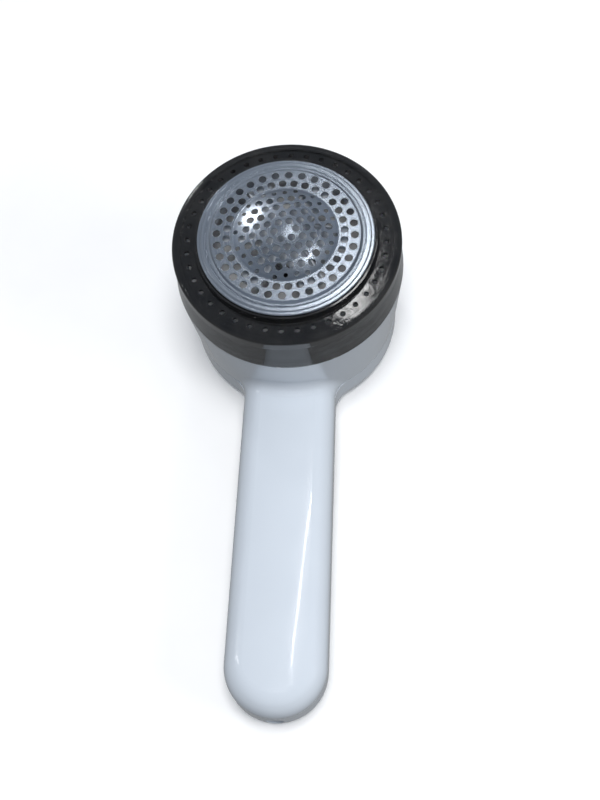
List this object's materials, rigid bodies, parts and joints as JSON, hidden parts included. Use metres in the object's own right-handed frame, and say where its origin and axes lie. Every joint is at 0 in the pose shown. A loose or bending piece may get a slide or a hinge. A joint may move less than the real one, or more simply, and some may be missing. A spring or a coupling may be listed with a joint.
{
  "type": "fabric shaver",
  "caption": "Rechargeable fabric shaver: round head with a perforated foil over a spinning blade, smoky lint bin and a straight handle.",
  "frame": {"origin": "centre of the flat foot under the head, on the rotor's axis", "axes": "+Z along the rotor's axis towards the shaving foil, -Y along the handle, +X to the right seen from the handle's end"},
  "size_m": [0.0834, 0.2007, 0.069],
  "materials": {
    "white_shell": "high-gloss injection-moulded ABS",
    "steel_screw": "zinc-plated steel",
    "deck_plastic": "moulded ABS, satin",
    "seal_rubber": "soft silicone rubber",
    "motor_steel": "nickel-plated steel",
    "black_plastic": "moulded, satin",
    "bronze": "sintered bronze and brass",
    "ferrite": "sintered ferrite",
    "carbon": "pressed carbon",
    "wire_jacket": "PVC insulation",
    "core_steel": "stacked silicon steel",
    "copper": "enamelled copper",
    "spring_steel": "spring steel",
    "hub_plastic": "white acetal",
    "blade_steel": "stainless steel, ground",
    "smoky_plastic": "smoky transparent, polished",
    "smoky_rim": "dark smoky transparent, polished",
    "frame_aluminium": "turned, bright",
    "foil_steel": "stainless steel, polished",
    "grey_plastic": "moulded, satin",
    "board_green": "solder-masked circuit board",
    "lens_clear": "clear light guide",
    "cell_wrap": "shrink wrap",
    "nickel": "nickel strip",
    "chip_black": "moulded epoxy"
  },
  "bodies": {
    "casing": {"front_shell": "white_shell", "back_shell": "white_shell", "case_screws": "steel_screw", "motor_deck": "deck_plastic", "deck_screws": "steel_screw", "motor_screws": "steel_screw", "bin_seal": "seal_rubber", "motor_can": "motor_steel", "motor_end_cap": "black_plastic", "motor_bushes": "bronze", "motor_magnets": "ferrite", "motor_brushes": "carbon", "motor_terminals": "bronze", "motor_damper": "seal_rubber", "motor_wires": "wire_jacket", "slide_switch": "motor_steel", "switch_plate": "board_green", "plate_screws": "steel_screw", "indicator_led": "lens_clear", "indicator_lens": "lens_clear", "inner_cradle": "deck_plastic", "battery_cell": "cell_wrap", "battery_tabs": "nickel", "battery_wires": "wire_jacket", "charge_board": "board_green", "board_parts": "chip_black", "dc_socket": "black_plastic", "socket_pin": "bronze"},
    "rotor": {"motor_shaft": "motor_steel", "armature_core": "core_steel", "armature_windings": "copper", "commutator": "copper", "drive_coupling": "black_plastic", "blade_spring": "spring_steel"},
    "cutter": {"blade_hub": "hub_plastic", "blade_plate": "blade_steel", "blade_screw": "blade_steel"},
    "head_cap": {"lint_bin": "smoky_plastic", "guard_ring": "smoky_rim"},
    "foil_cap": {"foil_frame": "frame_aluminium", "foil": "foil_steel"},
    "switch": {"switch_knob": "grey_plastic", "switch_slider": "black_plastic"}
  },
  "joints": [
    {"name": "bin_lift", "type": "slide", "parent": "casing", "child": "head_cap", "axis": [0, 0, 1], "range_m": [0, 0.035]},
    {"name": "foil_twist", "type": "hinge", "parent": "head_cap", "child": "foil_cap", "pos_m": [0, 0, 0.06], "axis": [0, 0, 1], "range_deg": [0, 25]},
    {"name": "motor_spin", "type": "hinge", "parent": "casing", "child": "rotor", "pos_m": [0, 0, 0.04], "axis": [0, 0, 1], "continuous": true},
    {"name": "blade_float", "type": "slide", "parent": "rotor", "child": "cutter", "axis": [0, 0, 1], "range_m": [-0.001, 0], "stiffness_N_per_m": 300, "springref_m": 0.002, "deforming": ["blade_spring"]},
    {"name": "power_switch", "type": "slide", "parent": "casing", "child": "switch", "axis": [0, 1, 0], "range_m": [0, 0.004]}
  ]
}
